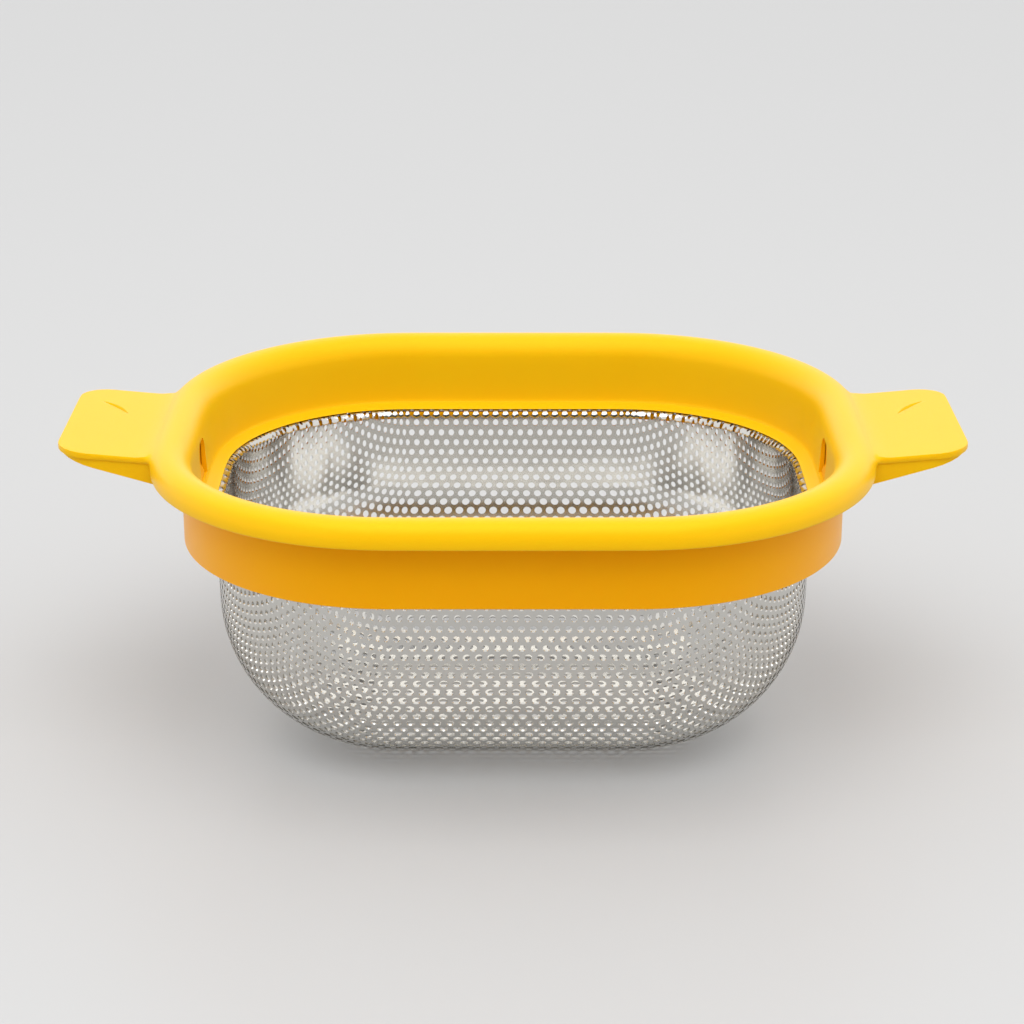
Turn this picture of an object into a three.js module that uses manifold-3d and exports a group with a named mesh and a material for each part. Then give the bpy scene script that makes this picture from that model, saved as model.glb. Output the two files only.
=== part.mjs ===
// Strainer: a drawn, perforated steel basket held in a two-piece moulded collar with two ears.
// Millimetres, +Z up. The origin is under the middle of the basket's floor, which the strainer stands on.
import * as THREE from 'three';
import { mergeVertices } from 'three/addons/utils/BufferGeometryUtils.js';
import Module from 'manifold-3d';

const wasm = await Module();
wasm.setup();

// ---- Driving dimensions -------------------------------------------------------------------------

// Plan of the skirt's outside. Every wall, flange and lip keeps its four corner centres.
const SKIRT_LENGTH = 208.6;
const SKIRT_WIDTH = 179.2;
const SKIRT_CORNER_R = 67.3;
const CORNER_STEPS = 10;

// Clearance between pieces that touch
const FIT = 0.3;

// Basket, pressed from one sheet
const BASKET_DEPTH = 75.3;
const SHEET_T = 0.6;
const FLANGE_WIDTH = 7.1;
const FLANGE_BEND_R = 1.5;
const FLOOR_BEND_RUN = 52;
const FLOOR_BEND_RISE = 50;
const WALL_DRAFT = 0.5;

// Clamp ring: the visible skirt, with a shelf inside that holds the basket's flange up
const RING_WALL = 1.9;
const SHELF_T = 1.8;
const SHELF_CLEARANCE = 1.7;
const SKIRT_DROP = 5.0;
const SKIRT_TUCK = 1.1;
const EDGE_BREAK = 0.3;

// Collar frame: ledge, inner wall and rolled lip
const COLLAR_WALL = 1.8;
const COLLAR_RISE = 24.4;
const LEDGE_T = 1.0;
const LEDGE_FALL = 0.6;
const LEDGE_OVERHANG = 1.6;
const WALL_FLARE = 0.7;
const LIP_REACH = 10.0;
const LIP_DROP = 8.0;
const LIP_SHELL = 2.2;
const LIP_CREST = 6.1;
const LIP_ROUND = 5.5;
const LIP_FLARE_RISE = 8.5;

// Ears
const EAR_WIDTH = 65;
const EAR_REACH = 29.0;
const EAR_TOP_DROP = 3.1;
const EAR_TILT = 5.2 * Math.PI / 180;
const EAR_PLATE_T = 1.9;
const EAR_ROOT_DEPTH = 8.3;
const EAR_TIP_DEPTH = 2.5;
const EAR_CORNER_R = 12;
const EAR_BLEND_RUN = 7;
const EAR_WEB_T = 2.2;
const EAR_WEB_INSET = 0.7;
const EAR_RIBS = 3;
const MARK_R = 16;
const MARK_DEPTH = 0.8;
const MARK_RUN = 1.8;
const MARK_X_FROM_LIP = 26.3;
const MARK_Y = 4.5;
const MARK_TURN = 138 * Math.PI / 180;

// Catch windows in the collar's end walls, and the ring's catches in them
const WINDOW_WIDTH = 15;
const WINDOW_TOP_DROP = 8.5;
const WINDOW_SILL = 1.4;
const WINDOW_CORNER_R = 5;
const CATCH_WIDTH = 11;
const CATCH_RISE = 4;
const CATCH_REACH = 1.3;

// ---- Worked out from them -----------------------------------------------------------------------

const cornerX = SKIRT_LENGTH / 2 - SKIRT_CORNER_R;
const cornerY = SKIRT_WIDTH / 2 - SKIRT_CORNER_R;

// Radii about the corner centres, from the outside in
const lipR = SKIRT_CORNER_R + LIP_REACH;
const crestR = lipR - LIP_CREST;
const ringInnerR = SKIRT_CORNER_R - RING_WALL;
const collarR = ringInnerR - FIT;
const wallR = collarR - COLLAR_WALL;
const flangeR = ringInnerR - 1;
const basketR = flangeR - FLANGE_WIDTH;
const ledgeR = basketR - LEDGE_OVERHANG;
const shelfR = basketR + SHELF_CLEARANCE;

// Heights
const flangeUnderZ = BASKET_DEPTH - SHEET_T;
const shelfZ = flangeUnderZ - FIT;
const skirtZ = flangeUnderZ - SKIRT_DROP;
const seatZ = BASKET_DEPTH + FIT;
const ledgeZ = seatZ + LEDGE_T;
const topZ = seatZ + COLLAR_RISE;
const lipZ = topZ - LIP_DROP;
const rollZ = topZ - LIP_ROUND;
const ringTopZ = lipZ + SKIRT_TUCK;

// Ends of the straight end walls, measured from the middle along X
const lipX = cornerX + lipR;
const skirtX = cornerX + SKIRT_CORNER_R;
const wallX = cornerX + wallR;
const earTopZ = topZ - EAR_TOP_DROP;
const earTipX = lipX + EAR_REACH;
const earTipZ = earTopZ + EAR_REACH * Math.tan(EAR_TILT);

// ---- Solids -------------------------------------------------------------------------------------

// A closed geometry as a solid that can be joined and cut
function toSolid(geometry) {
  const bare = geometry.clone();
  bare.deleteAttribute('normal');
  bare.deleteAttribute('uv');
  const merged = mergeVertices(bare, 1e-4);
  return new wasm.Manifold(new wasm.Mesh({
    numProp: 3,
    vertProperties: new Float32Array(merged.attributes.position.array),
    triVerts: new Uint32Array(merged.index.array),
  }));
}

// The solid as a geometry
function toGeometry(solid) {
  const mesh = solid.getMesh();
  const geometry = new THREE.BufferGeometry();
  geometry.setAttribute('position', new THREE.BufferAttribute(mesh.vertProperties, 3));
  geometry.setIndex(new THREE.BufferAttribute(mesh.triVerts, 1));
  return geometry;
}

// A lathed section whose four quarters are moved out to the corner centres, which leaves a straight
// run between each two. Section points are (radius about a corner centre, height).
function roundedRectangleSweep(section) {
  const ringsPerCorner = CORNER_STEPS + 1;
  const rings = 4 * ringsPerCorner;
  const geometry = new THREE.LatheGeometry(section, rings);
  const position = geometry.attributes.position;
  for (let ring = 0; ring <= rings; ring += 1) {
    const corner = Math.floor((ring % rings) / ringsPerCorner);
    const angle = (corner + (ring % ringsPerCorner) / CORNER_STEPS) * Math.PI / 2;
    const sideX = corner === 0 || corner === 3 ? 1 : -1;
    const sideY = corner < 2 ? 1 : -1;
    section.forEach((point, index) => {
      const spread = point.x > 0 ? 1 : 0;
      position.setXYZ(
        ring * section.length + index,
        sideX * cornerX * spread + point.x * Math.cos(angle),
        sideY * cornerY * spread + point.x * Math.sin(angle),
        point.y,
      );
    });
  }
  return geometry;
}

// An outline in the X-Z plane, extruded to a width that is centred on Y = y
function extrudeAlongY(outline, width, y = 0) {
  const geometry = new THREE.ExtrudeGeometry(outline, { depth: width, bevelEnabled: false, curveSegments: 6 });
  geometry.rotateX(Math.PI / 2);
  geometry.translate(0, y + width / 2, 0);
  return geometry;
}

// An outline in the Y-Z plane, extruded from X = x
function extrudeAlongX(outline, depth, x) {
  const geometry = new THREE.ExtrudeGeometry(outline, { depth, bevelEnabled: false, curveSegments: 6 });
  geometry.rotateX(Math.PI / 2);
  geometry.rotateZ(Math.PI / 2);
  geometry.translate(x, 0, 0);
  return geometry;
}

function polygon(points) {
  return new THREE.Shape(points.map(([x, y]) => new THREE.Vector2(x, y)));
}

// ---- Basket -------------------------------------------------------------------------------------

// One face of the sheet, from the middle of the floor to the flange's edge
function basketFace(offset) {
  const footR = basketR - WALL_DRAFT;
  const run = Math.min(FLOOR_BEND_RUN, footR - SHEET_T - 1);
  const bendR = FLANGE_BEND_R + offset;
  const path = new THREE.Path();
  path.moveTo(0, offset);
  path.lineTo(footR - run, offset);
  path.absellipse(footR - run, FLOOR_BEND_RISE, run - offset, FLOOR_BEND_RISE - offset, -Math.PI / 2, 0, false);
  path.absarc(basketR + FLANGE_BEND_R, flangeUnderZ - FLANGE_BEND_R, bendR, Math.PI, Math.PI / 2, true);
  path.lineTo(flangeR, flangeUnderZ + offset);
  return path.getPoints(4);
}

function basketGeometry() {
  return roundedRectangleSweep([...basketFace(0), ...basketFace(SHEET_T).reverse()]);
}

// ---- Clamp ring ---------------------------------------------------------------------------------

function ringSection() {
  const outline = [
    [ringInnerR + EDGE_BREAK, skirtZ],
    [SKIRT_CORNER_R - EDGE_BREAK, skirtZ],
    [SKIRT_CORNER_R, skirtZ + EDGE_BREAK],
    [SKIRT_CORNER_R, ringTopZ - EDGE_BREAK],
    [SKIRT_CORNER_R - EDGE_BREAK, ringTopZ],
    [ringInnerR + EDGE_BREAK, ringTopZ],
    [ringInnerR, ringTopZ - EDGE_BREAK],
    [ringInnerR, shelfZ],
    [shelfR + EDGE_BREAK, shelfZ],
    [shelfR, shelfZ - EDGE_BREAK],
    [shelfR, shelfZ - SHELF_T],
    [ringInnerR, shelfZ - SHELF_T],
    [ringInnerR, skirtZ + EDGE_BREAK],
    [ringInnerR + EDGE_BREAK, skirtZ],
  ];
  return outline.map(([r, z]) => new THREE.Vector2(r, z));
}

// A ramped catch on the inside of the ring's end wall, just above the window's sill
function catchSolid() {
  const faceX = skirtX - RING_WALL;
  const underZ = ledgeZ + LEDGE_FALL + WINDOW_SILL + FIT;
  const outline = polygon([
    [faceX + RING_WALL / 2, underZ],
    [faceX + RING_WALL / 2, underZ + CATCH_RISE],
    [faceX, underZ + CATCH_RISE],
    [faceX - CATCH_REACH, underZ + CATCH_RISE / 4],
    [faceX - CATCH_REACH, underZ],
  ]);
  return toSolid(extrudeAlongY(outline, CATCH_WIDTH));
}

function clampRingGeometry() {
  const ring = toSolid(roundedRectangleSweep(ringSection()));
  const right = catchSolid();
  return toGeometry(ring.add(right).add(right.rotate([0, 0, 180])));
}

// ---- Collar frame -------------------------------------------------------------------------------

function collarSection() {
  const flareR = wallR + WALL_FLARE;
  const path = new THREE.Path();
  path.moveTo(ledgeR + EDGE_BREAK, seatZ);
  path.lineTo(collarR, seatZ);
  path.lineTo(collarR, lipZ);
  path.absellipse(crestR, lipZ, crestR - collarR, topZ - LIP_SHELL - lipZ, Math.PI, Math.PI / 2, true);
  path.absellipse(crestR, rollZ, LIP_CREST - LIP_SHELL, LIP_ROUND - LIP_SHELL, Math.PI / 2, 0, true);
  path.lineTo(lipR - LIP_SHELL, lipZ);
  path.lineTo(lipR - EDGE_BREAK, lipZ);
  path.lineTo(lipR, lipZ + EDGE_BREAK);
  path.absellipse(crestR, rollZ, LIP_CREST, LIP_ROUND, 0, Math.PI / 2, false);
  path.absellipse(crestR, topZ - LIP_FLARE_RISE, crestR - flareR, LIP_FLARE_RISE, Math.PI / 2, Math.PI, false);
  path.lineTo(wallR, ledgeZ + LEDGE_FALL + EDGE_BREAK);
  path.lineTo(wallR - EDGE_BREAK, ledgeZ + LEDGE_FALL);
  path.lineTo(ledgeR + EDGE_BREAK, ledgeZ);
  path.lineTo(ledgeR, ledgeZ - EDGE_BREAK);
  path.lineTo(ledgeR, seatZ + EDGE_BREAK);
  path.lineTo(ledgeR + EDGE_BREAK, seatZ);
  return path.getPoints(3);
}

// Plan of an ear: square where it joins the lip, with two round corners at its tip
function earPlan(inset) {
  const halfWidth = EAR_WIDTH / 2 - inset;
  const tipX = earTipX - inset;
  const r = EAR_CORNER_R - inset;
  const plan = new THREE.Shape();
  plan.moveTo(skirtX, -halfWidth);
  plan.lineTo(tipX - r, -halfWidth);
  plan.absarc(tipX - r, -halfWidth + r, r, -Math.PI / 2, 0, false);
  plan.absarc(tipX - r, halfWidth - r, r, 0, Math.PI / 2, false);
  plan.lineTo(skirtX, halfWidth);
  const geometry = new THREE.ExtrudeGeometry(plan, { depth: topZ, bevelEnabled: false, curveSegments: 6 });
  return toSolid(geometry);
}

// Height of the ear's underside edge at a distance along X
function earEdgeZ(x) {
  const share = (x - lipX) / EAR_REACH;
  return earTopZ - EAR_ROOT_DEPTH + share * (earTipZ - EAR_TIP_DEPTH - earTopZ + EAR_ROOT_DEPTH);
}

// The ear's top plate, which sweeps up into the lip's roll
function earPlate() {
  const rootX = lipX - LIP_SHELL / 2;
  const side = new THREE.Shape();
  side.moveTo(rootX, earTopZ - EAR_PLATE_T);
  side.lineTo(lipX + EAR_BLEND_RUN, earTopZ + EAR_BLEND_RUN * Math.tan(EAR_TILT) - EAR_PLATE_T);
  side.lineTo(earTipX, earTipZ - EAR_PLATE_T);
  side.lineTo(earTipX, earTipZ);
  side.lineTo(lipX + EAR_BLEND_RUN, earTopZ + EAR_BLEND_RUN * Math.tan(EAR_TILT));
  side.quadraticCurveTo(lipX + EAR_BLEND_RUN / 4, earTopZ, rootX - LIP_SHELL / 2, topZ - EAR_TOP_DROP / 3);
  return toSolid(extrudeAlongY(side, EAR_WIDTH));
}

// One upright web under the ear, deep at the lip and thin at the tip
function earWeb(y, tipInset) {
  const startX = skirtX + 2 * FIT;
  const endX = earTipX - tipInset;
  const outline = polygon([
    [startX, earEdgeZ(startX)],
    [endX, earEdgeZ(endX)],
    [endX, earTipZ - EAR_PLATE_T / 2],
    [lipX, earTopZ - EAR_PLATE_T / 2],
    [crestR + cornerX, topZ - LIP_SHELL / 2],
    [startX, topZ - LIP_SHELL],
  ]);
  return toSolid(extrudeAlongY(outline, EAR_WEB_T, y));
}

// A shallow thumb mark: a round step that runs out to nothing
function earMark() {
  const geometry = new THREE.CylinderGeometry(MARK_R, MARK_R, EAR_PLATE_T, 32);
  geometry.rotateX(Math.PI / 2);
  geometry.translate(-MARK_R, 0, EAR_PLATE_T / 2 - MARK_DEPTH);
  geometry.rotateY(Math.atan(MARK_DEPTH / MARK_RUN));
  geometry.translate(MARK_R, 0, 0);
  geometry.rotateZ(MARK_TURN);
  geometry.rotateY(-EAR_TILT);
  return geometry;
}

function ear() {
  const webY = EAR_WIDTH / 2 - EAR_WEB_INSET - EAR_WEB_T / 2;
  let webs = earWeb(webY, 0).add(earWeb(-webY, 0));
  for (let rib = 1; rib <= EAR_RIBS; rib += 1) {
    const y = EAR_WIDTH * (rib / (EAR_RIBS + 1) - 0.5);
    webs = webs.add(earWeb(y, EAR_CORNER_R));
  }
  return earPlate().intersect(earPlan(0)).add(webs.intersect(earPlan(EAR_WEB_INSET)));
}

// An arched window through the collar's end wall
function windowCutter() {
  const halfWidth = WINDOW_WIDTH / 2;
  const sillZ = ledgeZ + LEDGE_FALL + WINDOW_SILL;
  const headZ = topZ - WINDOW_TOP_DROP;
  const r = Math.min(WINDOW_CORNER_R, headZ - sillZ - EDGE_BREAK);
  const arch = new THREE.Shape();
  arch.moveTo(-halfWidth, sillZ);
  arch.lineTo(halfWidth, sillZ);
  arch.absarc(halfWidth - r, headZ - r, r, 0, Math.PI / 2, false);
  arch.absarc(-halfWidth + r, headZ - r, r, Math.PI / 2, Math.PI, false);
  return toSolid(extrudeAlongX(arch, 2 * COLLAR_WALL + FIT, wallX - COLLAR_WALL));
}

function collarFrameGeometry() {
  const rightEar = ear();
  const rightWindow = windowCutter();
  let collar = toSolid(roundedRectangleSweep(collarSection()));
  collar = collar.add(rightEar).add(rightEar.rotate([0, 0, 180]));
  collar = collar.subtract(rightWindow).subtract(rightWindow.rotate([0, 0, 180]));
  const mark = earMark();
  mark.translate(lipX + MARK_X_FROM_LIP, MARK_Y, earTopZ + MARK_X_FROM_LIP * Math.tan(EAR_TILT));
  const rightMark = toSolid(mark);
  collar = collar.subtract(rightMark).subtract(rightMark.mirror([1, 0, 0]));
  return toGeometry(collar);
}

// ---- Materials and assembly ---------------------------------------------------------------------

function plastic(color) {
  return new THREE.MeshStandardMaterial({ color, roughness: 0.35, metalness: 0 });
}

function steel() {
  return new THREE.MeshStandardMaterial({ color: 0xb9b7b2, roughness: 0.25, metalness: 1 });
}

function piece(name, geometry, material) {
  const mesh = new THREE.Mesh(geometry, material);
  mesh.name = name;
  return mesh;
}

const strainer = new THREE.Group();
strainer.add(
  piece('collar_frame', collarFrameGeometry(), plastic(0xf5c21e)),
  piece('clamp_ring', clampRingGeometry(), plastic(0xe9a516)),
  piece('perforated_basket', basketGeometry(), steel()),
);

export default strainer;
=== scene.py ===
"""Strainer: the finished moulding, ring and perforated basket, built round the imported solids.

Lengths are millimetres up to the point where a piece becomes an object, which brings it to metres. A section
is a list of (distance from a corner centre, height), which is carried round the rounded rectangle that all
the rims share.
"""

import math

import bmesh
import bpy
import numpy as np
from mathutils import Matrix, Vector


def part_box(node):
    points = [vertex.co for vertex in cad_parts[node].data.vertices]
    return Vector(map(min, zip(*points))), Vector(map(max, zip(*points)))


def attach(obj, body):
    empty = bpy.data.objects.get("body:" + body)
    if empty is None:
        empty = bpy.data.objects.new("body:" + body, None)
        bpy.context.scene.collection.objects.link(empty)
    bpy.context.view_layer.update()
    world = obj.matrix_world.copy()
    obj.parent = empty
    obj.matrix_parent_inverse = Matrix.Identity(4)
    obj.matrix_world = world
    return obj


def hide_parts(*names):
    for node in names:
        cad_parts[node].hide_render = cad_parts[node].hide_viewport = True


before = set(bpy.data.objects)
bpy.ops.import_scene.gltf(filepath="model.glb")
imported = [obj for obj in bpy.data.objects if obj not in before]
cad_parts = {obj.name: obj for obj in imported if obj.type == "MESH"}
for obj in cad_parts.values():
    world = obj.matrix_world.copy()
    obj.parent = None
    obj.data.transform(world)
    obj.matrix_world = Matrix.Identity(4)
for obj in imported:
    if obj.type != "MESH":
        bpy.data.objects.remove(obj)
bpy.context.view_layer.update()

# ---- Sizes from the frame -------------------------------------------------------------------------

MM = 0.001
X = 0
Y = 1

# Vertices this near are one vertex
TINY = 0.01

# Vertices further apart than this lie at different places of a moulding
APART = 1


def box_mm(node):
    """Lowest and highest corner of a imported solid, in millimetres."""
    low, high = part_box(node)
    return low / MM, high / MM


_, collar_high = box_mm("collar_frame")
ring_low, ring_high = box_mm("clamp_ring")
_, basket_high = box_mm("perforated_basket")

SKIRT_CORNER_R = 67.3
corner = Vector((ring_high.x - SKIRT_CORNER_R, ring_high.y - SKIRT_CORNER_R, 0))

# ---- Sizes of the mouldings -----------------------------------------------------------------------

# Clearance between parts that slide, gap between parts that lie on each other, and size of a broken edge
FIT = 0.3
CONTACT = 0.05
EDGE = 0.3

RING_WALL = 1.9
COLLAR_WALL = 1.8
WALL_FLARE = 0.7

# The ledge over the basket's flange falls inwards and leaves most of the flange's bend in sight
LEDGE_T = 0.7
LEDGE_FALL = 0.9
LEDGE_WIDTH = 4.6

# The lip: a shell rolled from the wall over its crest and down to an open lower edge
LIP_CREST = 6.1
LIP_ROUND = 5.5
LIP_SHELL = 2.2
LIP_DROP = 8.0
LIP_FLARE_RISE = 8.5

SHELF_T = 1.8
SHELF_WIDTH = 6.4

# An ear: a plate that leaves the lip's roll below the blend angle, in degrees up the roll, and walls under it
EAR_WIDTH = 65
EAR_TOP_DROP = 3.1
EAR_TILT = math.radians(5.2)
EAR_PLATE_T = 1.9
EAR_BLEND_ANGLE = 36
EAR_BLEND_RUN = 2.6
EAR_CORNER_R = 12
EAR_RIM_ANGLE = math.radians(57.3)
EAR_RIM_CREASE = 0.8
EAR_ROOT_DEPTH = 8.3
EAR_TIP_DEPTH = 2.5
EAR_WALL_T = 2.2
EAR_WALL_INSET = 0.7
EAR_RIBS = 3

MARK_R = 16
MARK_DEPTH = 0.8
MARK_RUN = 1.8
MARK_X_FROM_LIP = 26.3
MARK_Y = 4.5
MARK_TURN = math.radians(138)

WINDOW_WIDTH = 15
WINDOW_TOP_DROP = 8.5
WINDOW_SILL = 1.4
WINDOW_CORNER_R = 5
CATCH_WIDTH = 11
CATCH_RISE = 4
CATCH_REACH = 1.3

# Steps in the round stretches, and the angles in degrees above which an edge shades crisp
SMOOTH_LEVELS = 2
LIP_STEPS = 5
ROLL_STEPS = 4
EDGE_STEPS = 3
CORNER_STEPS = 12
RING_CORNER_STEPS = 40
EAR_TIP_STEPS = 6
EAR_WALL_STEPS = 8
WINDOW_STEPS = 12
MARK_STEPS = 96
COLLAR_CRISP = 32
RING_CRISP = 40

ring_inner_r = SKIRT_CORNER_R - RING_WALL
collar_r = ring_inner_r - FIT
wall_r = collar_r - COLLAR_WALL
ledge_r = wall_r - LEDGE_WIDTH
lip_r = collar_high.y - corner.y
crest_r = lip_r - LIP_CREST
shelf_r = ring_inner_r - SHELF_WIDTH

seat_z = basket_high.z + CONTACT
top_z = collar_high.z
ledge_z = seat_z + LEDGE_T
lip_z = top_z - LIP_DROP
roll_z = top_z - LIP_ROUND
sill_z = ledge_z + LEDGE_FALL + WINDOW_SILL

lip_x = corner.x + lip_r
tip_x = collar_high.x
skirt_x = ring_high.x
ear_root_x = skirt_x + 2 * FIT
ear_top_z = top_z - EAR_TOP_DROP

# ---- Sizes of the basket --------------------------------------------------------------------------

SHEET_T = 0.6
WALL_DRAFT = 0.5
FLOOR_BEND_RUN = 52
FLOOR_BEND_RISE = 50
FLANGE_WIDTH = 7.1
FLANGE_BEND_R = 1.5
SHEET_CRISP = 40

# Stock sheet with round holes in staggered rows
HOLE_R = 1.0
HOLE_STEPS = 12
PITCH = 3.5
ROW_STEP = PITCH * math.sqrt(3) / 2
PATTERN_SHIFT = np.array((-0.9, 0.6))

# What drawing did to the sheet: the punch's nose stretched it both ways and opened its holes, and the wall
# was only stretched downwards. Reaches are along the flat blank, outwards from its middle rectangle.
NOSE_STRETCH = 1.165
WALL_STRETCH = 1.21
NOSE_SPREAD = 1.16
NOSE_HOLE_GROWTH = 1.22
NOSE_REACH = 60
WALL_REACH = 83

# Fineness of the drawn section, and rounds in which a point's reach and its spread settle
FLOOR_BEND_STEPS = 200
FLANGE_BEND_STEPS = 40
PATH_POINTS = 2000
SETTLE_ROUNDS = 10

# Rows and columns that the punched field has to spare, and how near its centre, in hole radii, a vertex
# counts as on the hole's edge
SPARE_CELLS = 2
NEAR_HOLE = 1.2

flange_r = basket_high.y - corner.y
basket_r = flange_r - FLANGE_WIDTH
foot_r = basket_r - WALL_DRAFT
flange_under_z = basket_high.z - SHEET_T


# ---- Mesh tools -----------------------------------------------------------------------------------


def arc(centre, radii, start, end, steps):
    """Points of an elliptical arc in a section, angles in degrees."""
    angles = np.radians(np.linspace(start, end, steps + 1))
    return [(centre[0] + radii[0] * math.cos(a), centre[1] + radii[1] * math.sin(a)) for a in angles]


def verts_of(geom):
    """The vertices among an operator's results."""
    return [g for g in geom if isinstance(g, bmesh.types.BMVert)]


def draw_straight(bm, axis, start, stops):
    """Draws the open end that lies at a place along an axis out to each stop in turn."""
    for stop in stops:
        end = [e for e in bm.edges if all(abs(v.co[axis] - start) < TINY for v in e.verts)]
        drawn = bmesh.ops.extrude_edge_only(bm, edges=end)["geom"]
        run = Vector((0, 0, 0))
        run[axis] = stop - start
        bmesh.ops.translate(bm, verts=verts_of(drawn), vec=run)
        start = stop


def mirror(bm, axis):
    """Adds the mirror image across a middle plane, and joins the two."""
    everything = bm.verts[:] + bm.edges[:] + bm.faces[:]
    bmesh.ops.mirror(bm, geom=everything, matrix=Matrix.Identity(4), merge_dist=TINY, axis=axis)


def half_ring(section, turns):
    """A closed section carried round one corner in turns of (angle, steps), drawn straight to both middle
    planes and mirrored across the width. Each vertex remembers its place in the section."""
    bm = bmesh.new()
    station = bm.verts.layers.int.new("station")
    loop = [bm.verts.new((r, 0, z)) for r, z in section]
    for number, vert in enumerate(loop):
        vert[station] = number
    last = loop + [bm.edges.new(pair) for pair in zip(loop, loop[1:] + loop[:1])]
    for angle, steps in turns:
        last = bmesh.ops.spin(bm, geom=last, axis=(0, 0, 1), angle=angle, steps=steps)["geom_last"]
    bmesh.ops.translate(bm, verts=bm.verts, vec=corner)
    draw_straight(bm, Y, corner.y, (corner.y / 2, 0))
    draw_straight(bm, X, corner.x, (corner.x / 2, 0))
    mirror(bm, "Y")
    return bm


def to_object(bm, name, recalculate=True):
    """Makes a bmesh in millimetres an object in metres, with its place in its mesh."""
    if recalculate:
        bmesh.ops.remove_doubles(bm, verts=bm.verts, dist=TINY)
        bmesh.ops.recalc_face_normals(bm, faces=bm.faces)
    bmesh.ops.scale(bm, verts=bm.verts, vec=(MM, MM, MM))
    mesh = bpy.data.meshes.new(name)
    bm.to_mesh(mesh)
    bm.free()
    made = bpy.data.objects.new(name, mesh)
    bpy.context.scene.collection.objects.link(made)
    return made


def apply_modifiers(piece):
    """Puts what the modifiers make into the piece's own mesh."""
    bpy.context.view_layer.update()
    evaluated = piece.evaluated_get(bpy.context.evaluated_depsgraph_get())
    mesh = bpy.data.meshes.new_from_object(evaluated)
    piece.modifiers.clear()
    piece.data = mesh


def join_or_cut(piece, operation, bm):
    """Joins a closed bmesh to a piece, or cuts it away, together with its copy on the other end."""
    mirror(bm, "X")
    tool = to_object(bm, "tool")
    change = piece.modifiers.new("change", "BOOLEAN")
    change.operation = operation
    change.solver = "EXACT"
    change.object = tool
    apply_modifiers(piece)
    bpy.data.objects.remove(tool)


def shade(piece, sharp_angle):
    """Smooth faces, with a crisp edge wherever two meet at more than this angle."""
    piece.data.shade_smooth()
    piece.data.set_sharp_from_angle(angle=math.radians(sharp_angle))


def prism(outline, axis, start, depth):
    """A flat outline across one axis, extruded along it."""
    bm = bmesh.new()
    across = [i for i in range(3) if i != axis]
    verts = []
    for point in outline:
        place = Vector((0, 0, 0))
        place[axis] = start
        place[across[0]], place[across[1]] = point
        verts.append(bm.verts.new(place))
    face = bm.faces.new(verts)
    run = Vector((0, 0, 0))
    run[axis] = depth
    grown = bmesh.ops.extrude_face_region(bm, geom=[face], use_keep_orig=True)["geom"]
    bmesh.ops.translate(bm, verts=verts_of(grown), vec=run)
    bmesh.ops.recalc_face_normals(bm, faces=bm.faces)
    return bm


def round_off(bm, geom, affect, radius):
    """Rounds the edges between faces, or the corners of a flat face, at an ear's tip."""
    bmesh.ops.bevel(
        bm, geom=geom, affect=affect, offset=radius, offset_type="OFFSET", segments=EAR_TIP_STEPS,
        profile=0.5, material=-1, clamp_overlap=True,
    )


# ---- Collar ---------------------------------------------------------------------------------------


def roll_arc(thickness, start, end, steps):
    """Points of the lip's roll, at a depth in its shell: 0 is its outside."""
    return arc((crest_r, roll_z), (LIP_CREST - thickness, LIP_ROUND - thickness), start, end, steps)


def collar_section():
    """The collar's section, and the numbers of the two points between which the ear's plate leaves it."""
    hollow = (crest_r - collar_r, top_z - LIP_SHELL - lip_z)
    inside = [(ledge_r + EDGE, seat_z), (collar_r - EDGE, seat_z), (collar_r, seat_z + EDGE)]
    inside += arc((crest_r, lip_z), hollow, 180, 90, LIP_STEPS)
    inside += roll_arc(LIP_SHELL, 90, 0, ROLL_STEPS)[1:]
    inside += [(lip_r - LIP_SHELL, lip_z + EDGE), (lip_r - LIP_SHELL + EDGE, lip_z)]
    inside += [(lip_r - EDGE, lip_z), (lip_r, lip_z + EDGE)]
    plate_under = math.degrees(math.asin((ear_top_z - EAR_PLATE_T - roll_z) / LIP_ROUND))
    flare = (crest_r - wall_r - WALL_FLARE, LIP_FLARE_RISE)
    floor_z = ledge_z + LEDGE_FALL
    outside = roll_arc(0, plate_under, EAR_BLEND_ANGLE, 1)
    outside += roll_arc(0, EAR_BLEND_ANGLE, 90, ROLL_STEPS - 1)[1:]
    outside += arc((crest_r, top_z - LIP_FLARE_RISE), flare, 90, 180, LIP_STEPS)[1:]
    outside += [(wall_r, floor_z + EDGE), (wall_r - EDGE, floor_z)]
    outside += [(ledge_r + EDGE, ledge_z), (ledge_r, ledge_z - EDGE), (ledge_r, seat_z + EDGE)]
    return inside + outside, {len(inside), len(inside) + 1}


def plate_z(x):
    """Height of the top of the ear's plate."""
    return ear_top_z + (x - lip_x) * math.tan(EAR_TILT)


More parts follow.
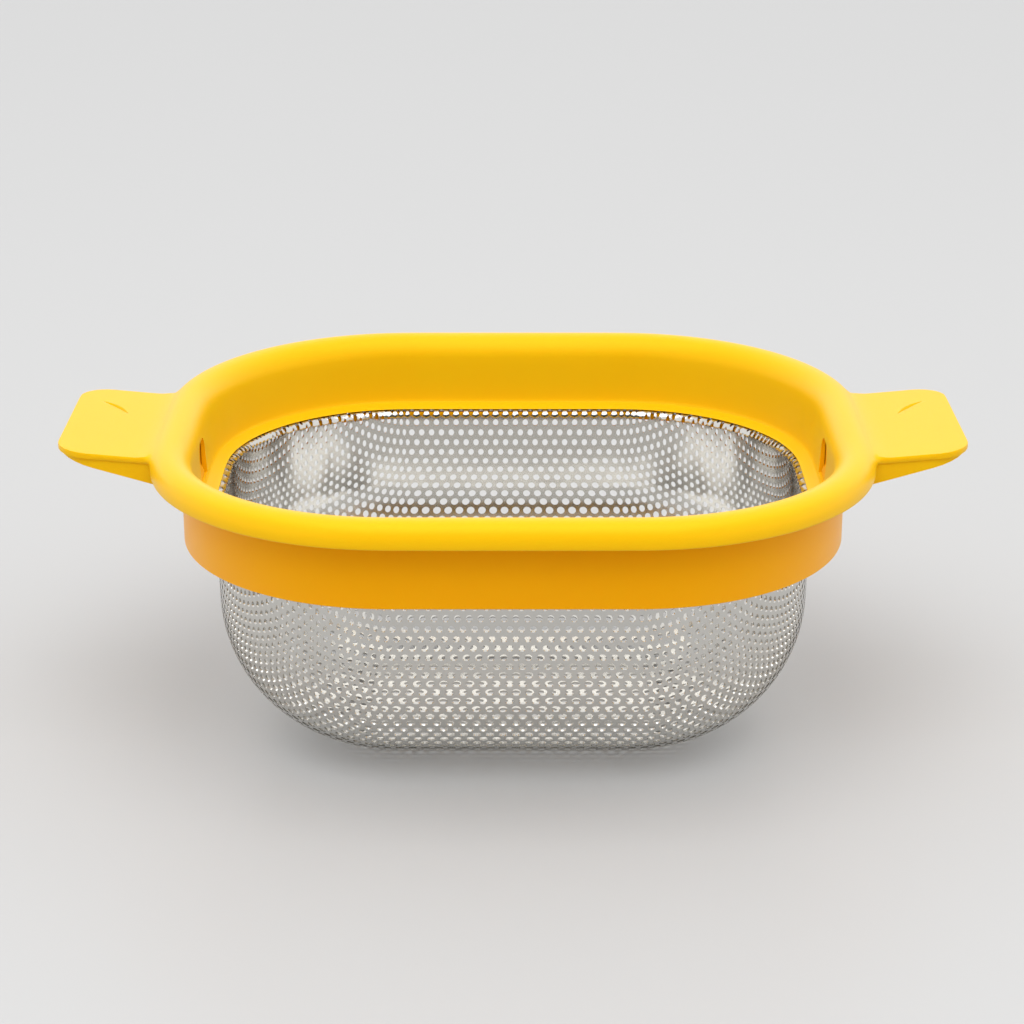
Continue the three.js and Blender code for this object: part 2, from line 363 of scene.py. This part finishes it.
def draw_out_ear(bm, band_stations):
    """Draws the ear's plate out of the lip's roll, rounds its two corners and keeps its rim crisp."""
    station = bm.verts.layers.int["station"]
    under = min(band_stations)
    band = [
        f for f in bm.faces
        if {v[station] for v in f.verts} == band_stations
        and f.calc_center_median().x > skirt_x
        and abs(f.calc_center_median().y) < EAR_WIDTH / 2
    ]
    for stop in (lip_x + EAR_BLEND_RUN, lip_x + 2 * EAR_BLEND_RUN, tip_x - EAR_CORNER_R - APART, tip_x):
        drawn = bmesh.ops.extrude_face_region(bm, geom=band)["geom"]
        bmesh.ops.delete(bm, geom=band, context="FACES")
        band = [g for g in drawn if isinstance(g, bmesh.types.BMFace)]
        for vert in {v for f in band for v in f.verts}:
            vert.co.x = stop
            vert.co.z = plate_z(stop) - (EAR_PLATE_T if vert[station] == under else 0)
            if abs(vert.co.y) > corner.y + APART:
                vert.co.y = math.copysign(EAR_WIDTH / 2, vert.co.y)
    corners = [
        e for e in bm.edges
        if all(v.co.x > tip_x - TINY and abs(v.co.y) > EAR_WIDTH / 2 - TINY for v in e.verts)
    ]
    round_off(bm, corners, "EDGES", EAR_CORNER_R)
    bmesh.ops.recalc_face_normals(bm, faces=bm.faces)
    crease = bm.edges.layers.float.new("crease_edge")
    for edge in bm.edges:
        if edge.calc_face_angle(0) > EAR_RIM_ANGLE and max(v.co.x for v in edge.verts) > lip_x + APART:
            edge[crease] = EAR_RIM_CREASE


def ear_plan(inset):
    """The ear's plan as a flat face, with its two tip corners rounded."""
    bm = bmesh.new()
    half = EAR_WIDTH / 2 - inset
    points = [(ear_root_x, -half), (tip_x - inset, -half), (tip_x - inset, half), (ear_root_x, half)]
    face = bm.faces.new([bm.verts.new((x, y, 0)) for x, y in points])
    tips = [v for v in face.verts if v.co.x > lip_x]
    round_off(bm, tips, "VERTICES", EAR_CORNER_R - inset)
    return bm


def ear_under_z(x):
    """Height of the lower edge of the walls under the ear."""
    share = (x - lip_x) / (tip_x - lip_x)
    return plate_z(x) - EAR_ROOT_DEPTH + share * (EAR_ROOT_DEPTH - EAR_TIP_DEPTH)


def ear_inner_z(x):
    """Height inside the thickness of the lip's shell and the ear's plate, where the walls under them end."""
    root_z = ear_top_z - EAR_PLATE_T / 2
    xs = (skirt_x, corner.x + crest_r, lip_x - LIP_SHELL / 2, lip_x, tip_x)
    zs = (top_z - LIP_SHELL, top_z - LIP_SHELL / 2, root_z, root_z, plate_z(tip_x) - EAR_PLATE_T / 2)
    return float(np.interp(x, xs, zs))


def fit_under_ear(bm):
    """Takes a wall whose lower points are at height 0 and whose upper points are at 1. The lower ones go to
    the ear's sloping under edge, and the upper ones inside the plate."""
    for vert in bm.verts:
        vert.co.z = ear_inner_z(vert.co.x) if vert.co.z > 0 else ear_under_z(vert.co.x)


def ear_walls():
    """The wall that runs round under the ear, standing in from the plate's rim."""
    bm = ear_plan(EAR_WALL_INSET)
    face = bm.faces[:]
    bmesh.ops.inset_region(bm, faces=face, thickness=EAR_WALL_T, use_boundary=True, use_even_offset=True)
    bmesh.ops.delete(bm, geom=face, context="FACES")
    long_edges = [e for e in bm.edges if abs(e.verts[0].co.x - e.verts[1].co.x) > EAR_CORNER_R]
    bmesh.ops.subdivide_edges(bm, edges=long_edges, cuts=EAR_WALL_STEPS - 1)
    grown = bmesh.ops.extrude_face_region(bm, geom=bm.faces[:], use_keep_orig=True)["geom"]
    bmesh.ops.translate(bm, verts=verts_of(grown), vec=(0, 0, 1))
    bmesh.ops.recalc_face_normals(bm, faces=bm.faces)
    fit_under_ear(bm)
    return bm


def ear_rib(y):
    """One stiffening rib along the ear."""
    xs = np.linspace(ear_root_x, tip_x - EAR_CORNER_R, EAR_WALL_STEPS + 1)
    outline = [(x, 0) for x in xs] + [(x, 1) for x in xs[::-1]]
    bm = prism(outline, Y, y - EAR_WALL_T / 2, EAR_WALL_T)
    fit_under_ear(bm)
    return bm


def thumb_mark():
    """A round tool, tilted so that it bites at one side and runs out to nothing at the other."""
    bm = bmesh.new()
    bmesh.ops.create_cone(
        bm, cap_ends=True, segments=MARK_STEPS, radius1=MARK_R, radius2=MARK_R, depth=EAR_PLATE_T
    )
    mark_x = lip_x + MARK_X_FROM_LIP
    place = (
        Matrix.Translation((mark_x, MARK_Y, plate_z(mark_x)))
        @ Matrix.Rotation(-EAR_TILT, 4, "Y")
        @ Matrix.Rotation(MARK_TURN, 4, "Z")
        @ Matrix.Translation((MARK_R, 0, 0))
        @ Matrix.Rotation(math.atan(MARK_DEPTH / MARK_RUN), 4, "Y")
        @ Matrix.Translation((-MARK_R, 0, EAR_PLATE_T / 2 - MARK_DEPTH))
    )
    bmesh.ops.transform(bm, matrix=place, verts=bm.verts)
    return bm


def catch_window():
    """The tool that cuts an arched window through the collar's end wall."""
    half = WINDOW_WIDTH / 2
    round_y = half - WINDOW_CORNER_R
    round_z = top_z - WINDOW_TOP_DROP - WINDOW_CORNER_R
    outline = [(-half, sill_z), (half, sill_z)]
    outline += arc((round_y, round_z), (WINDOW_CORNER_R, WINDOW_CORNER_R), 0, 90, WINDOW_STEPS)
    outline += arc((-round_y, round_z), (WINDOW_CORNER_R, WINDOW_CORNER_R), 90, 180, WINDOW_STEPS)
    return prism(outline, X, corner.x + wall_r - COLLAR_WALL, 2 * COLLAR_WALL + FIT)


def make_collar():
    """The collar with both ears: one smooth moulding, to which the ears' walls are joined and from which the
    windows and thumb marks are cut."""
    section, band_stations = collar_section()
    root_turn = math.asin((EAR_WIDTH / 2 - corner.y) / lip_r)
    bm = half_ring(section, ((root_turn, 1), (math.pi / 2 - root_turn, CORNER_STEPS)))
    draw_out_ear(bm, band_stations)
    mirror(bm, "X")
    collar = to_object(bm, "collar_moulding")
    smooth = collar.modifiers.new("smooth", "SUBSURF")
    smooth.levels = SMOOTH_LEVELS
    smooth.render_levels = SMOOTH_LEVELS
    apply_modifiers(collar)
    join_or_cut(collar, "UNION", ear_walls())
    for rib in range(EAR_RIBS):
        join_or_cut(collar, "UNION", ear_rib(EAR_WIDTH * ((rib + 1) / (EAR_RIBS + 1) - 0.5)))
    join_or_cut(collar, "DIFFERENCE", catch_window())
    join_or_cut(collar, "DIFFERENCE", thumb_mark())
    shade(collar, COLLAR_CRISP)
    return collar


# ---- Clamp ring -----------------------------------------------------------------------------------


def rounded_edge(r, z, start):
    """A quarter turn about a point, of the size of a broken edge."""
    return arc((r, z), (EDGE, EDGE), start, start + 90, EDGE_STEPS)


def ring_section():
    """The skirt's section, with the shelf that carries the basket's flange inside it."""
    shelf_z = flange_under_z - FIT
    low_z = ring_low.z + EDGE
    high_z = ring_high.z - EDGE
    section = rounded_edge(SKIRT_CORNER_R - EDGE, low_z, -90)
    section += rounded_edge(SKIRT_CORNER_R - EDGE, high_z, 0)
    section += rounded_edge(ring_inner_r + EDGE, high_z, 90)
    section += [(ring_inner_r, shelf_z)]
    section += rounded_edge(shelf_r + EDGE, shelf_z - EDGE, 90)
    section += [(shelf_r, shelf_z - SHELF_T), (ring_inner_r, shelf_z - SHELF_T)]
    section += rounded_edge(ring_inner_r + EDGE, low_z, 180)
    return section


def ring_catch():
    """A ramped catch on the inside of the ring's end wall."""
    face_x = skirt_x - RING_WALL
    under_z = sill_z + FIT
    outline = [
        (face_x + RING_WALL / 2, under_z),
        (face_x + RING_WALL / 2, under_z + CATCH_RISE),
        (face_x, under_z + CATCH_RISE),
        (face_x - CATCH_REACH, under_z + CATCH_RISE / 4),
        (face_x - CATCH_REACH, under_z),
    ]
    return prism(outline, Y, -CATCH_WIDTH / 2, CATCH_WIDTH)


def make_ring():
    """The clamp ring, whose outside is the visible skirt, with a catch at each end."""
    bm = half_ring(ring_section(), ((math.pi / 2, RING_CORNER_STEPS),))
    mirror(bm, "X")
    ring = to_object(bm, "skirt_ring")
    join_or_cut(ring, "UNION", ring_catch())
    shade(ring, RING_CRISP)
    return ring


# ---- Basket ---------------------------------------------------------------------------------------


def ease(value, low, high):
    """0 below low, 1 above high, and smooth between."""
    t = np.clip((value - low) / (high - low), 0, 1)
    return t * t * (3 - 2 * t)


def drawn_path():
    """The sheet's outside from the middle of the floor to the flange's edge: how far each point of it lay
    out on the flat blank, its distance from the corner centre and its height."""
    flat_r = foot_r - FLOOR_BEND_RUN
    bend_z = flange_under_z - FLANGE_BEND_R
    bend_r = basket_r + FLANGE_BEND_R
    path = [(0, 0)]
    path += arc((flat_r, FLOOR_BEND_RISE), (FLOOR_BEND_RUN, FLOOR_BEND_RISE), -90, 0, FLOOR_BEND_STEPS)
    path += arc((bend_r, bend_z), (FLANGE_BEND_R, FLANGE_BEND_R), 180, 90, FLANGE_BEND_STEPS)
    path = np.array(path + [(flange_r, flange_under_z)])
    lengths = np.linalg.norm(np.diff(path, axis=0), axis=1)
    along = np.concatenate(([0], np.cumsum(lengths)))
    evenly = np.linspace(0, along[-1], PATH_POINTS)
    wall_share = ease(evenly, NOSE_REACH * NOSE_STRETCH, WALL_REACH * NOSE_STRETCH)
    stretch = NOSE_STRETCH + (WALL_STRETCH - NOSE_STRETCH) * wall_share
    reach = np.concatenate(([0], np.cumsum(np.diff(evenly) / stretch[1:])))
    return reach, np.interp(evenly, along, path[:, 0]), np.interp(evenly, along, path[:, 1])


path_reach, path_r, path_z = drawn_path()


def blank_reach(points):
    """For points of the flat blank: how far out of the middle rectangle each lies, its nearest point there,
    and how much drawing spread the sheet sideways at that reach."""
    half = np.array((corner.x, corner.y))
    reach = np.zeros(len(points))
    for _ in range(SETTLE_ROUNDS):
        spread = NOSE_SPREAD + (1 - NOSE_SPREAD) * ease(reach, NOSE_REACH, WALL_REACH)
        nearest = np.clip(points, -half / spread[:, None], half / spread[:, None])
        reach = np.linalg.norm(points - nearest, axis=1)
    return reach, nearest, spread


def hole_sites(points):
    """The hole centre of the lattice cell that each point belongs to."""
    row = np.round((points[:, 1] - PATTERN_SHIFT[1]) / ROW_STEP)
    shift = PATTERN_SHIFT[0] + PITCH / 2 * (row % 2)
    column = np.round((points[:, 0] - shift) / PITCH)
    return np.stack((shift + column * PITCH, PATTERN_SHIFT[1] + row * ROW_STEP), axis=1)


def punched_cell():
    """One hexagonal cell with its round hole."""
    bm = bmesh.new()
    bmesh.ops.create_circle(bm, segments=HOLE_STEPS, radius=HOLE_R)
    border = bmesh.ops.create_circle(bm, segments=HOLE_STEPS, radius=PITCH / math.sqrt(3))["verts"]
    # Every second point moves in to the middle of one of the hexagon's sides
    bmesh.ops.scale(bm, verts=border[1::2], vec=(math.cos(math.pi / 6),) * 3)
    bmesh.ops.bridge_loops(bm, edges=bm.edges[:])
    # The face that looks down becomes the basket's outside
    bmesh.ops.reverse_faces(bm, faces=[f for f in bm.faces if f.normal.z > 0])
    return bm


def repeat(bm, count, move):
    """Copies what there is count times to each side, each copy moved by what move gives for its number."""
    pattern = bm.verts[:] + bm.edges[:] + bm.faces[:]
    for number in range(-count, count + 1):
        if number:
            copy = bmesh.ops.duplicate(bm, geom=pattern)["geom"]
            bmesh.ops.translate(bm, verts=verts_of(copy), vec=move(number))


def punched_blank():
    """The flat blank: the cell repeated along a row, and the row repeated with a stagger."""
    bm = punched_cell()
    bmesh.ops.translate(bm, verts=bm.verts, vec=(*PATTERN_SHIFT, 0))
    half = np.array((corner.x, corner.y)) / NOSE_SPREAD + path_reach[-1]
    columns, rows = np.ceil(half / (PITCH, ROW_STEP)).astype(int) + SPARE_CELLS
    repeat(bm, columns, lambda column: (column * PITCH, 0, 0))
    repeat(bm, rows, lambda row: (PITCH / 2 * (row % 2), row * ROW_STEP, 0))
    return bm


def trim_blank(bm):
    """Cuts the blank to its outline, which leaves a sound rim outside the last holes, and joins the cells."""
    bm.faces.ensure_lookup_table()
    centres = np.array([f.calc_center_median()[:2] for f in bm.faces])
    reach, _, _ = blank_reach(hole_sites(centres))
    outside = [bm.faces[i] for i in np.flatnonzero(reach > path_reach[-1] - HOLE_R)]
    bmesh.ops.delete(bm, geom=outside, context="FACES")
    bmesh.ops.remove_doubles(bm, verts=bm.verts, dist=TINY)


def draw_basket(bm):
    """Presses the trimmed blank into the basket's shape."""
    flat = np.array([v.co[:2] for v in bm.verts])
    sites = hole_sites(flat)
    reach, _, _ = blank_reach(sites)
    at_hole = np.linalg.norm(flat - sites, axis=1) < HOLE_R * NEAR_HOLE
    growth = NOSE_HOLE_GROWTH + (1 - NOSE_HOLE_GROWTH) * ease(reach, NOSE_REACH, WALL_REACH)
    flat = np.where(at_hole[:, None], sites + (flat - sites) * growth[:, None], flat)
    reach, nearest, spread = blank_reach(flat)
    away = (flat - nearest) / np.maximum(reach, TINY)[:, None]
    rim = np.array([any(e.is_boundary for e in v.link_edges) for v in bm.verts]) & ~at_hole
    reach = np.where(rim, path_reach[-1], reach)
    place = nearest * spread[:, None] + away * np.interp(reach, path_reach, path_r)[:, None]
    height = np.interp(reach, path_reach, path_z)
    for vert, (x, y), z in zip(bm.verts, place, height):
        vert.co = (x, y, z)


def basket_half(bm, name, left_out):
    """One half of the drawn surface, without the faces left out, given the sheet's thickness inwards."""
    bm.faces.ensure_lookup_table()
    bmesh.ops.delete(bm, geom=[bm.faces[i] for i in np.flatnonzero(left_out)], context="FACES")
    half = to_object(bm, name, recalculate=False)
    sheet = half.modifiers.new("sheet", "SOLIDIFY")
    sheet.thickness = SHEET_T * MM
    sheet.offset = -1
    sheet.use_even_offset = True
    apply_modifiers(half)
    shade(half, SHEET_CRISP)
    return half


def make_basket():
    """The perforated basket in two halves, left and right, which meet along a line between holes."""
    bm = punched_blank()
    trim_blank(bm)
    centres = np.array([f.calc_center_median()[:2] for f in bm.faces])
    left = hole_sites(centres)[:, 0] < 0
    draw_basket(bm)
    return [basket_half(bm.copy(), "basket_right", left), basket_half(bm, "basket_left", ~left)]


# ---- Materials ------------------------------------------------------------------------------------

# Of each moulding: its colour, the shade of its clouds and the warm tint of its highlights
COLLAR_YELLOW = ("#F5C00E", "#F3BB0B", "#FFD060")
# Ring: the collar's plastic, painted darker and more orange as painted shade on the skirt under the lip
RING_ORANGE_WITH_PAINTED_SHADE = ("#FFB004", "#FCAB03", "#FFC050")
STEEL_GREY = "#CCCAC5"
TABLE_GREY = "#BFBFBF"

# Sizes of the patterns, and the depths of relief that they stand for
MELT_CLOUD = 40
MOULD_GRAIN = 0.5
MOULD_GRAIN_DEPTH = 0.2
DIE_MARK_WIDTH = 1.54
DIE_MARK_SLIMNESS = 0.06
DIE_MARK_DEPTH = 0.1
STRETCH_PATCH = 15.4
STRETCH_PATCH_DEPTH = 0.5
LIGHT_REACH = 2


def linear(hex_colour):
    """An sRGB hex colour as the linear one that shaders take."""
    parts = [int(hex_colour[i:i + 2], 16) / 255 for i in (1, 3, 5)]
    return (*[c / 12.92 if c <= 0.04045 else ((c + 0.055) / 1.055) ** 2.4 for c in parts], 1)


def pattern_scale(size):
    """The scale of a noise whose features are this many millimetres across."""
    return 1 / (size * MM)


def add_node(tree, kind, settings, sockets):
    """Adds a node, sets it, and fills its sockets with values or with other nodes' outputs."""
    node = tree.nodes.new(kind)
    for name, value in settings.items():
        setattr(node, name, value)
    for name, value in sockets.items():
        if isinstance(value, bpy.types.NodeSocket):
            tree.links.new(value, node.inputs[name])
        else:
            node.inputs[name].default_value = value
    return node


def new_material(name):
    """A material with an empty node tree."""
    material = bpy.data.materials.new(name)
    material.use_nodes = True
    material.node_tree.nodes.clear()
    return material, material.node_tree


def moulded_polypropylene(name, colours):
    """Injection-moulded polypropylene: a warm, slightly cloudy plastic that light enters a little way, with a
    satin mould surface whose fine grain spreads each highlight."""
    material, tree = new_material(name)
    colour, cloud_colour, highlight_tint = (linear(c) for c in colours)
    place = add_node(tree, "ShaderNodeTexCoord", {}, {}).outputs["Object"]
    # Clouds that the flow of the melt leaves
    flow = add_node(
        tree, "ShaderNodeTexNoise", {},
        {"Vector": place, "Scale": pattern_scale(MELT_CLOUD), "Detail": 2},
    )
    tone = add_node(
        tree, "ShaderNodeMix", {"data_type": "RGBA"},
        {"Factor": flow.outputs["Fac"], "A": colour, "B": cloud_colour},
    )
    # Grain of a spark-eroded mould, drawn coarser than the real 0.1 mm so that it shows
    noise = add_node(
        tree, "ShaderNodeTexNoise", {},
        {"Vector": place, "Scale": pattern_scale(MOULD_GRAIN), "Detail": 2},
    )
    grain = noise.outputs["Fac"]
    rough = add_node(tree, "ShaderNodeMapRange", {}, {"Value": grain, "To Min": 0.32, "To Max": 0.42})
    bump = add_node(
        tree, "ShaderNodeBump", {},
        {"Height": grain, "Strength": 0.04, "Distance": MOULD_GRAIN_DEPTH * MM},
    )
    surface = add_node(
        tree, "ShaderNodeBsdfPrincipled", {},
        {
            "Base Color": tone.outputs["Result"],
            "Roughness": rough.outputs["Result"],
            "IOR": 1.49,
            "Specular Tint": highlight_tint,
            "Subsurface Weight": 0.15,
            "Subsurface Radius": (1.0, 0.5, 0.1),
            "Subsurface Scale": LIGHT_REACH * MM,
            "Normal": bump.outputs["Normal"],
        },
    )
    add_node(tree, "ShaderNodeOutputMaterial", {}, {"Surface": surface.outputs["BSDF"]})
    return material


def drawn_stainless():
    """Stainless steel 304, bright annealed, punched and deep drawn: mirror-like, dulled a little by the
    stretch, with faint upright marks from the die."""
    material, tree = new_material("drawn_stainless")
    place = add_node(tree, "ShaderNodeTexCoord", {}, {}).outputs["Object"]
    # Marks of the die down the wall, many times as long as they are wide
    upright = add_node(
        tree, "ShaderNodeMapping", {}, {"Vector": place, "Scale": (1, 1, DIE_MARK_SLIMNESS)}
    )
    marks = add_node(
        tree, "ShaderNodeTexNoise", {},
        {"Vector": upright.outputs["Vector"], "Scale": pattern_scale(DIE_MARK_WIDTH), "Detail": 3},
    )
    # Uneven stretch of the sheet
    noise = add_node(
        tree, "ShaderNodeTexNoise", {},
        {"Vector": place, "Scale": pattern_scale(STRETCH_PATCH), "Detail": 2},
    )
    patches = noise.outputs["Fac"]
    rough = add_node(tree, "ShaderNodeMapRange", {}, {"Value": patches, "To Min": 0.08, "To Max": 0.2})
    coarse = add_node(
        tree, "ShaderNodeBump", {},
        {"Height": patches, "Strength": 0.35, "Distance": STRETCH_PATCH_DEPTH * MM},
    )
    fine = add_node(
        tree, "ShaderNodeBump", {},
        {
            "Height": marks.outputs["Fac"],
            "Strength": 0.12,
            "Distance": DIE_MARK_DEPTH * MM,
            "Normal": coarse.outputs["Normal"],
        },
    )
    surface = add_node(
        tree, "ShaderNodeBsdfPrincipled", {},
        {
            "Base Color": linear(STEEL_GREY),
            "Metallic": 1.0,
            "Roughness": rough.outputs["Result"],
            "Normal": fine.outputs["Normal"],
        },
    )
    add_node(tree, "ShaderNodeOutputMaterial", {}, {"Surface": surface.outputs["BSDF"]})
    return material


def table_top():
    """Matt white laminate, which has only a faint sheen."""
    material, tree = new_material("table_top")
    surface = add_node(
        tree, "ShaderNodeBsdfPrincipled", {},
        {"Base Color": linear(TABLE_GREY), "Roughness": 0.35, "Specular IOR Level": 0.2},
    )
    add_node(tree, "ShaderNodeOutputMaterial", {}, {"Surface": surface.outputs["BSDF"]})
    return material


# ---- Studio ---------------------------------------------------------------------------------------

# The camera, in metres; its lens in millimetres and its shift as a share of the picture's width
CAMERA_ELEVATION = math.radians(20.5)
CAMERA_DISTANCE = 0.868
CAMERA_AIM = Vector((0, 0, 0.067))
CAMERA_LENS = 93.3
CAMERA_SHIFT = -0.000977
CAMERA_NEAR = 0.05

# Half the side of the table, in millimetres as all meshes are
TABLE_REACH = 6000

# The tent's brightness, and the dark gap in front: its middle 8 degrees up, dark within the core and fading
# out to the edge
TENT_BRIGHT = 1.15
TENT_GAP_BRIGHT = 0.05
TENT_GAP_RISE = math.radians(8)
TENT_GAP_CORE = math.radians(14)
TENT_GAP_EDGE = math.radians(34)

# The large softbox above and in front, in metres
SOFTBOX_PLACE = Vector((0, -0.55, 1.35))
SOFTBOX_SIZE = 1.3
SOFTBOX_WATTS = 10


def make_camera():
    data = bpy.data.cameras.new("camera")
    data.lens = CAMERA_LENS
    data.shift_x = CAMERA_SHIFT
    data.clip_start = CAMERA_NEAR
    camera = bpy.data.objects.new("camera", data)
    back = Vector((0, -math.cos(CAMERA_ELEVATION), math.sin(CAMERA_ELEVATION)))
    camera.location = CAMERA_AIM + back * CAMERA_DISTANCE
    camera.rotation_euler = (math.pi / 2 - CAMERA_ELEVATION, 0, 0)
    bpy.context.scene.collection.objects.link(camera)
    bpy.context.scene.camera = camera


def make_table():
    bm = bmesh.new()
    bmesh.ops.create_grid(bm, x_segments=1, y_segments=1, size=TABLE_REACH)
    bmesh.ops.translate(bm, verts=bm.verts, vec=(0, 0, -CONTACT))
    table = to_object(bm, "floor")
    table.data.materials.append(table_top())


def make_softbox():
    data = bpy.data.lights.new("softbox", "AREA")
    data.size = SOFTBOX_SIZE
    data.energy = SOFTBOX_WATTS
    softbox = bpy.data.objects.new("softbox", data)
    softbox.location = SOFTBOX_PLACE
    softbox.rotation_euler = (-SOFTBOX_PLACE).to_track_quat("-Z", "Y").to_euler()
    bpy.context.scene.collection.objects.link(softbox)


def make_tent():
    """A white tent all round, open and dark low down in front, where the camera looks in."""
    world = bpy.data.worlds.new("tent")
    world.use_nodes = True
    tree = world.node_tree
    tree.nodes.clear()
    gap = (0, -math.cos(TENT_GAP_RISE), math.sin(TENT_GAP_RISE))
    direction = add_node(tree, "ShaderNodeTexCoord", {}, {}).outputs["Generated"]
    toward = add_node(tree, "ShaderNodeVectorMath", {"operation": "DOT_PRODUCT"}, {0: direction, 1: gap})
    cloth = add_node(
        tree, "ShaderNodeMapRange", {"interpolation_type": "SMOOTHSTEP"},
        {
            "Value": toward.outputs["Value"],
            "From Min": math.cos(TENT_GAP_EDGE),
            "From Max": math.cos(TENT_GAP_CORE),
            "To Min": TENT_BRIGHT,
            "To Max": TENT_GAP_BRIGHT,
        },
    )
    background = add_node(
        tree, "ShaderNodeBackground", {}, {"Color": (1, 1, 1, 1), "Strength": cloth.outputs["Result"]}
    )
    add_node(tree, "ShaderNodeOutputWorld", {}, {"Surface": background.outputs["Background"]})
    bpy.context.scene.world = world


# ---- Assembly -------------------------------------------------------------------------------------

collar_plastic = moulded_polypropylene("collar_polypropylene", COLLAR_YELLOW)
# The ring's colours hold painted shade for the upright skirt under the lip
ring_plastic = moulded_polypropylene("ring_polypropylene_painted_shade", RING_ORANGE_WITH_PAINTED_SHADE)
steel = drawn_stainless()

collar = make_collar()
ring = make_ring()
basket_halves = make_basket()

for piece, node, slot, material in (
    (collar, "collar_frame", "collar_plastic", collar_plastic),
    (ring, "clamp_ring", "ring_plastic", ring_plastic),
    *[(half, "perforated_basket", "basket_steel", steel) for half in basket_halves],
):
    piece.data.materials.clear()
    piece.data.materials.append(material)
    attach(piece, "root")
    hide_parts(node)

bpy.context.scene.view_settings.view_transform = "Standard"
make_camera()
make_table()
make_tent()
make_softbox()
